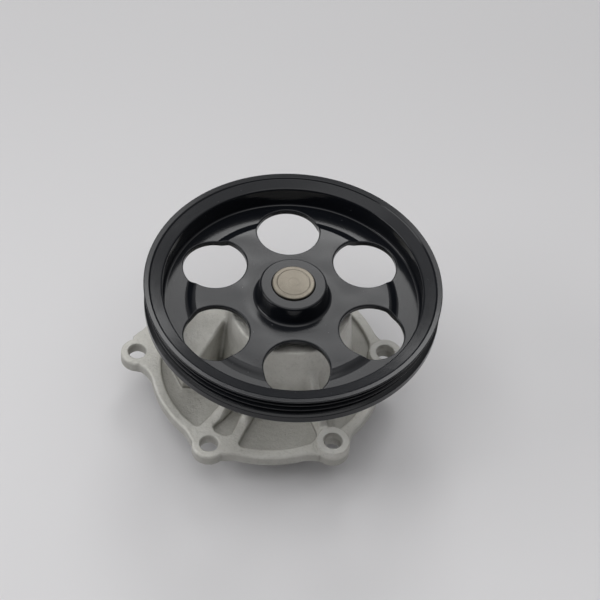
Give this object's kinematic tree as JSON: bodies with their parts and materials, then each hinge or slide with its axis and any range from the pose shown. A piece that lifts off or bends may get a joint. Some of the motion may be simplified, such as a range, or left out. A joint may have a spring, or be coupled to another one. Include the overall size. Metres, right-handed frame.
{
  "type": "water pump",
  "caption": "Engine water pump: light-alloy cover casting with fixing ears, and a black grooved belt pulley with round holes on the shaft.",
  "frame": {"origin": "on the shaft axis, in the plane of the casting's mounting face", "axes": "+Z along the shaft towards the pulley, +X and +Y across the flange, so that the two low ears are at -Y"},
  "size_m": [0.1651, 0.152, 0.088],
  "materials": {
    "cast_alloy": "cast, matt",
    "black_coat": "gloss",
    "shaft_steel": "ground",
    "bearing_steel": "ground",
    "ball_steel": "polished",
    "cage_plastic": "satin",
    "seal_rubber": "matt",
    "bellows_rubber": "matt",
    "gasket_rubber": "matt",
    "plated_steel": "satin",
    "seal_brass": "satin",
    "spring_steel": "bright",
    "carbon": "matt",
    "ceramic_white": "ground",
    "impeller_steel": "satin"
  },
  "bodies": {
    "pump_body": {"housing": "cast_alloy", "drain_plug": "plated_steel", "face_gasket": "gasket_rubber", "bearing_outer_ring": "bearing_steel", "front_bearing_seal": "seal_rubber", "rear_bearing_seal": "seal_rubber", "seal_case": "seal_brass", "seal_bellows": "bellows_rubber", "seal_spring": "spring_steel", "spring_collar": "plated_steel", "carbon_ring": "carbon"},
    "rotor": {"pulley_rim": "black_coat", "pulley_web": "black_coat", "pulley_hub": "black_coat", "shaft": "shaft_steel", "slinger": "plated_steel", "ceramic_seat": "ceramic_white", "seat_cup": "bellows_rubber", "impeller_hub": "impeller_steel", "impeller_disc": "impeller_steel"},
    "ball_row": {"bearing_balls": "ball_steel", "ball_cage": "cage_plastic"},
    "roller_row": {"bearing_rollers": "ball_steel", "roller_cage": "cage_plastic"}
  },
  "joints": [
    {"name": "rotor_spin", "type": "hinge", "parent": "pump_body", "child": "rotor", "pos_m": [0, 0, 0.03], "axis": [0, 0, 1], "continuous": true},
    {"name": "ball_row_spin", "type": "hinge", "parent": "pump_body", "child": "ball_row", "pos_m": [0, 0, 0.038], "axis": [0, 0, 1], "continuous": true},
    {"name": "roller_row_spin", "type": "hinge", "parent": "pump_body", "child": "roller_row", "pos_m": [0, 0, 0.022], "axis": [0, 0, 1], "continuous": true}
  ],
  "couplings": [
    {"joint": "ball_row_spin", "follows": "rotor_spin", "ratio": 0.364},
    {"joint": "roller_row_spin", "follows": "rotor_spin", "ratio": 0.385}
  ]
}
